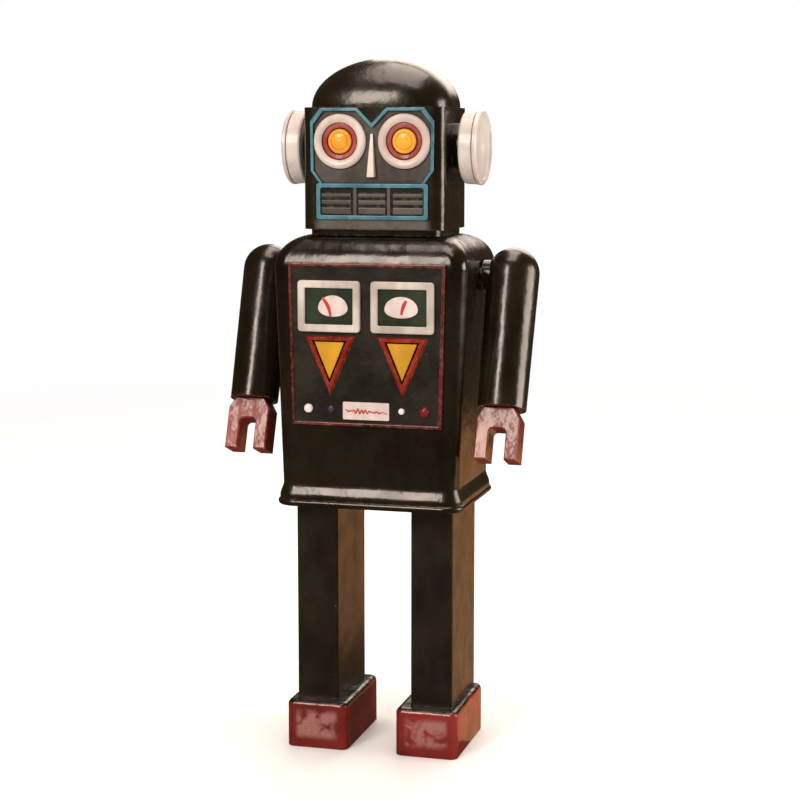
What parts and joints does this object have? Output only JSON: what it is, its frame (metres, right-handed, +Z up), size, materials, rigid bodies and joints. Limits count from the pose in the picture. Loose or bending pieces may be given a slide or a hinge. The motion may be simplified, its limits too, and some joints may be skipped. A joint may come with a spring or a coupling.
{
  "type": "walking toy robot",
  "caption": "Battery-operated walking humanoid toy robot with pressed metal body, swinging arms, claw hands, gauge panel and motor-driven legs.",
  "frame": {"origin": "on the floor, midway between the soles, at the bottom centre of the bounding box", "axes": "+Z up; the robot faces -Y; its own left is +X"},
  "size_m": [0.1246, 0.0616, 0.2799],
  "materials": {
    "black_enamel": "gloss enamel over steel",
    "head_enamel": "gloss enamel over steel",
    "arm_enamel": "gloss enamel over steel",
    "leg_enamel": "gloss enamel over steel",
    "dark_satin": "satin enamel",
    "deep_red": "gloss",
    "foot_enamel": "gloss",
    "silver_enamel": "pearl enamel",
    "off_white": "gloss enamel",
    "dusty_red": "satin enamel",
    "amber_lens": "gloss",
    "blue_trim": "gloss enamel",
    "red_trim": "gloss enamel",
    "gauge_white": "gloss enamel",
    "gauge_green": "gloss enamel",
    "needle_red": "gloss enamel",
    "lamp_red": "gloss enamel",
    "lamp_yellow": "gloss",
    "label_white": "satin",
    "jewels": "gloss",
    "white_knob": "gloss",
    "red_knob": "gloss",
    "steel": "plain zinc-plated",
    "motor_steel": "plated can",
    "nylon": "moulded nylon",
    "black_plastic": "satin moulded",
    "board_green": "lacquered board",
    "bulb_glass": "clear",
    "cell_jacket": "printed foil",
    "spring_brass": "bright",
    "rubber": "matt",
    "neck_dark": "gloss enamel"
  },
  "bodies": {
    "torso": {"base_plate": "steel", "battery_cells": "cell_jacket", "battery_contacts": "spring_brass", "battery_holder": "black_plastic", "bulb_bracket": "steel", "case_screws": "steel", "chest_panel": "dark_satin", "control_board": "board_green", "door_pin": "steel", "ear_drums": "silver_enamel", "eye_bulbs": "bulb_glass", "eye_irises": "dusty_red", "eye_lenses": "amber_lens", "eye_rings": "off_white", "face_plate": "dark_satin", "gauge_bezels": "gauge_white", "gauge_dials": "gauge_green", "gauge_needles": "needle_red", "gearbox_pins": "steel", "gearbox_plates": "steel", "head_dome": "head_enamel", "head_shell": "head_enamel", "hip_axle": "steel", "label_plate": "label_white", "lamp_bezels": "lamp_red", "lamp_lenses": "lamp_yellow", "mask_trim": "blue_trim", "motor": "motor_steel", "mouth_frame": "blue_trim", "mouth_grille": "dark_satin", "neck_collar": "neck_dark", "nose": "off_white", "panel_frame": "red_trim", "panel_jewels": "jewels", "switch_body": "black_plastic", "torso_back": "black_enamel", "torso_shell": "black_enamel"},
    "right_leg": {"right_leg": "leg_enamel", "right_lever": "steel", "right_foot": "foot_enamel"},
    "left_leg": {"left_leg": "leg_enamel", "left_lever": "steel", "left_foot": "foot_enamel"},
    "right_roller": {"right_roller": "rubber"},
    "left_roller": {"left_roller": "rubber"},
    "right_arm": {"right_arm": "arm_enamel", "right_shoulder_pin": "steel", "right_hand": "deep_red"},
    "left_arm": {"left_arm": "arm_enamel", "left_shoulder_pin": "steel", "left_hand": "deep_red"},
    "white_button": {"white_button": "white_knob"},
    "red_button": {"red_button": "red_knob"},
    "battery_door": {"battery_door": "black_enamel"},
    "power_switch": {"power_switch": "red_knob"},
    "motor_pinion": {"motor_pinion": "spring_brass"},
    "first_gear": {"first_gear": "nylon"},
    "second_gear": {"second_gear": "nylon"},
    "crank": {"crank_gear": "nylon", "crank_shaft": "steel"}
  },
  "joints": [
    {"name": "hip_right", "type": "hinge", "parent": "torso", "child": "right_leg", "pos_m": [-0.0241, 0.0006, 0.118], "axis": [-1, 0, 0], "range_deg": [-6, 6]},
    {"name": "hip_left", "type": "hinge", "parent": "torso", "child": "left_leg", "pos_m": [0.0241, 0.0006, 0.118], "axis": [-1, 0, 0], "range_deg": [-6, 6]},
    {"name": "roller_right", "type": "hinge", "parent": "right_leg", "child": "right_roller", "pos_m": [-0.0231, 0.006, 0.0059], "axis": [1, 0, 0], "continuous": true},
    {"name": "roller_left", "type": "hinge", "parent": "left_leg", "child": "left_roller", "pos_m": [0.0231, 0.006, 0.0059], "axis": [1, 0, 0], "continuous": true},
    {"name": "shoulder_right", "type": "hinge", "parent": "torso", "child": "right_arm", "pos_m": [-0.0518, 0.0035, 0.1935], "axis": [-1, 0, 0], "range_deg": [-40, 150]},
    {"name": "shoulder_left", "type": "hinge", "parent": "torso", "child": "left_arm", "pos_m": [0.0518, 0.0035, 0.1935], "axis": [-1, 0, 0], "range_deg": [-40, 150]},
    {"name": "press_white_button", "type": "slide", "parent": "torso", "child": "white_button", "axis": [0, 1, 0], "range_m": [0, 0.001], "stiffness_N_per_m": 300, "springref_m": -0.0005},
    {"name": "press_red_button", "type": "slide", "parent": "torso", "child": "red_button", "axis": [0, 1, 0], "range_m": [0, 0.001], "stiffness_N_per_m": 300, "springref_m": -0.0005},
    {"name": "open_battery_door", "type": "hinge", "parent": "torso", "child": "battery_door", "pos_m": [0, 0.0298, 0.1424], "axis": [-1, 0, 0], "range_deg": [0, 100]},
    {"name": "slide_power_switch", "type": "slide", "parent": "torso", "child": "power_switch", "axis": [1, 0, 0], "range_m": [0, 0.005]},
    {"name": "crank_turn", "type": "hinge", "parent": "torso", "child": "crank", "pos_m": [0, 0.0006, 0.14], "axis": [1, 0, 0], "continuous": true},
    {"name": "second_gear_turn", "type": "hinge", "parent": "torso", "child": "second_gear", "pos_m": [0, -0.00735, 0.15272], "axis": [1, 0, 0], "continuous": true},
    {"name": "first_gear_turn", "type": "hinge", "parent": "torso", "child": "first_gear", "pos_m": [0, -0.0134, 0.16512], "axis": [1, 0, 0], "continuous": true},
    {"name": "motor_turn", "type": "hinge", "parent": "torso", "child": "motor_pinion", "pos_m": [0, -0.00238, 0.17343], "axis": [1, 0, 0], "continuous": true}
  ],
  "couplings": [
    {"joint": "hip_left", "follows": "hip_right", "ratio": -1},
    {"joint": "second_gear_turn", "follows": "crank_turn", "ratio": -4},
    {"joint": "first_gear_turn", "follows": "crank_turn", "ratio": 14.4},
    {"joint": "motor_turn", "follows": "crank_turn", "ratio": -51.84}
  ]
}
